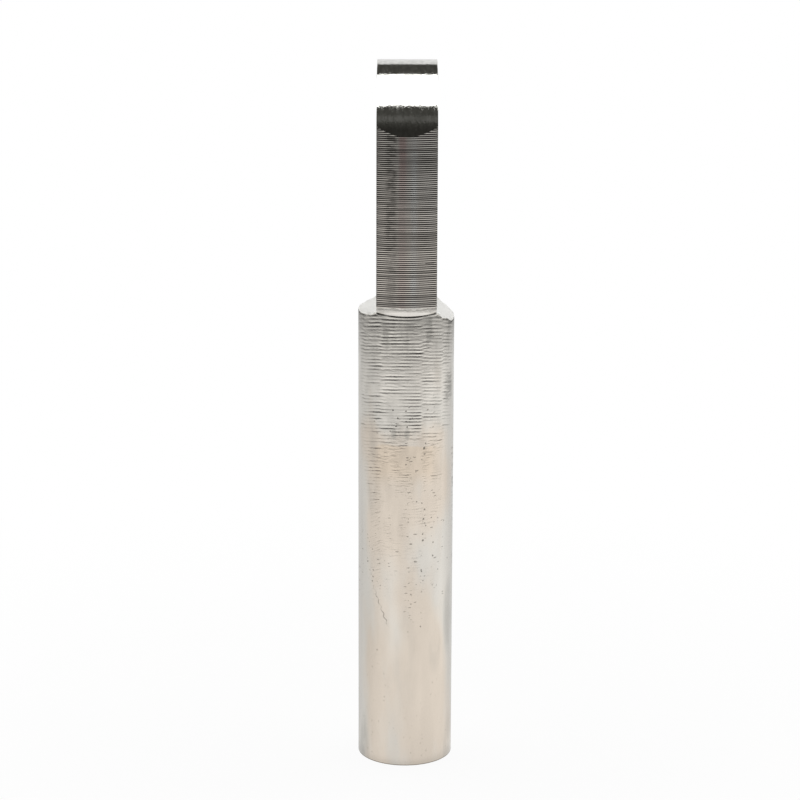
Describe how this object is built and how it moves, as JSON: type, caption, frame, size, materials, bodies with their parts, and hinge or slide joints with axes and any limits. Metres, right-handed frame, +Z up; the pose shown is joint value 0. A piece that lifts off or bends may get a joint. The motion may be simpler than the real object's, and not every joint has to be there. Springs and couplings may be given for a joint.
{
  "type": "tubular cable lug",
  "caption": "Turned copper cable lug, tin-plated: a blind round barrel for the cable and a thick flat palm with a rounded tip and a stud hole.",
  "frame": {"origin": "middle of the barrel's mouth face, which is the bottom of the upright part", "axes": "+Z up the barrel to the palm, +X out of one of the palm's flat faces, +Y across the palm's width"},
  "size_m": [0.0164, 0.0314, 0.1236],
  "materials": {
    "tinned_copper": "satin"
  },
  "bodies": {
    "root": {"cable_lug": "tinned_copper"}
  },
  "joints": []
}
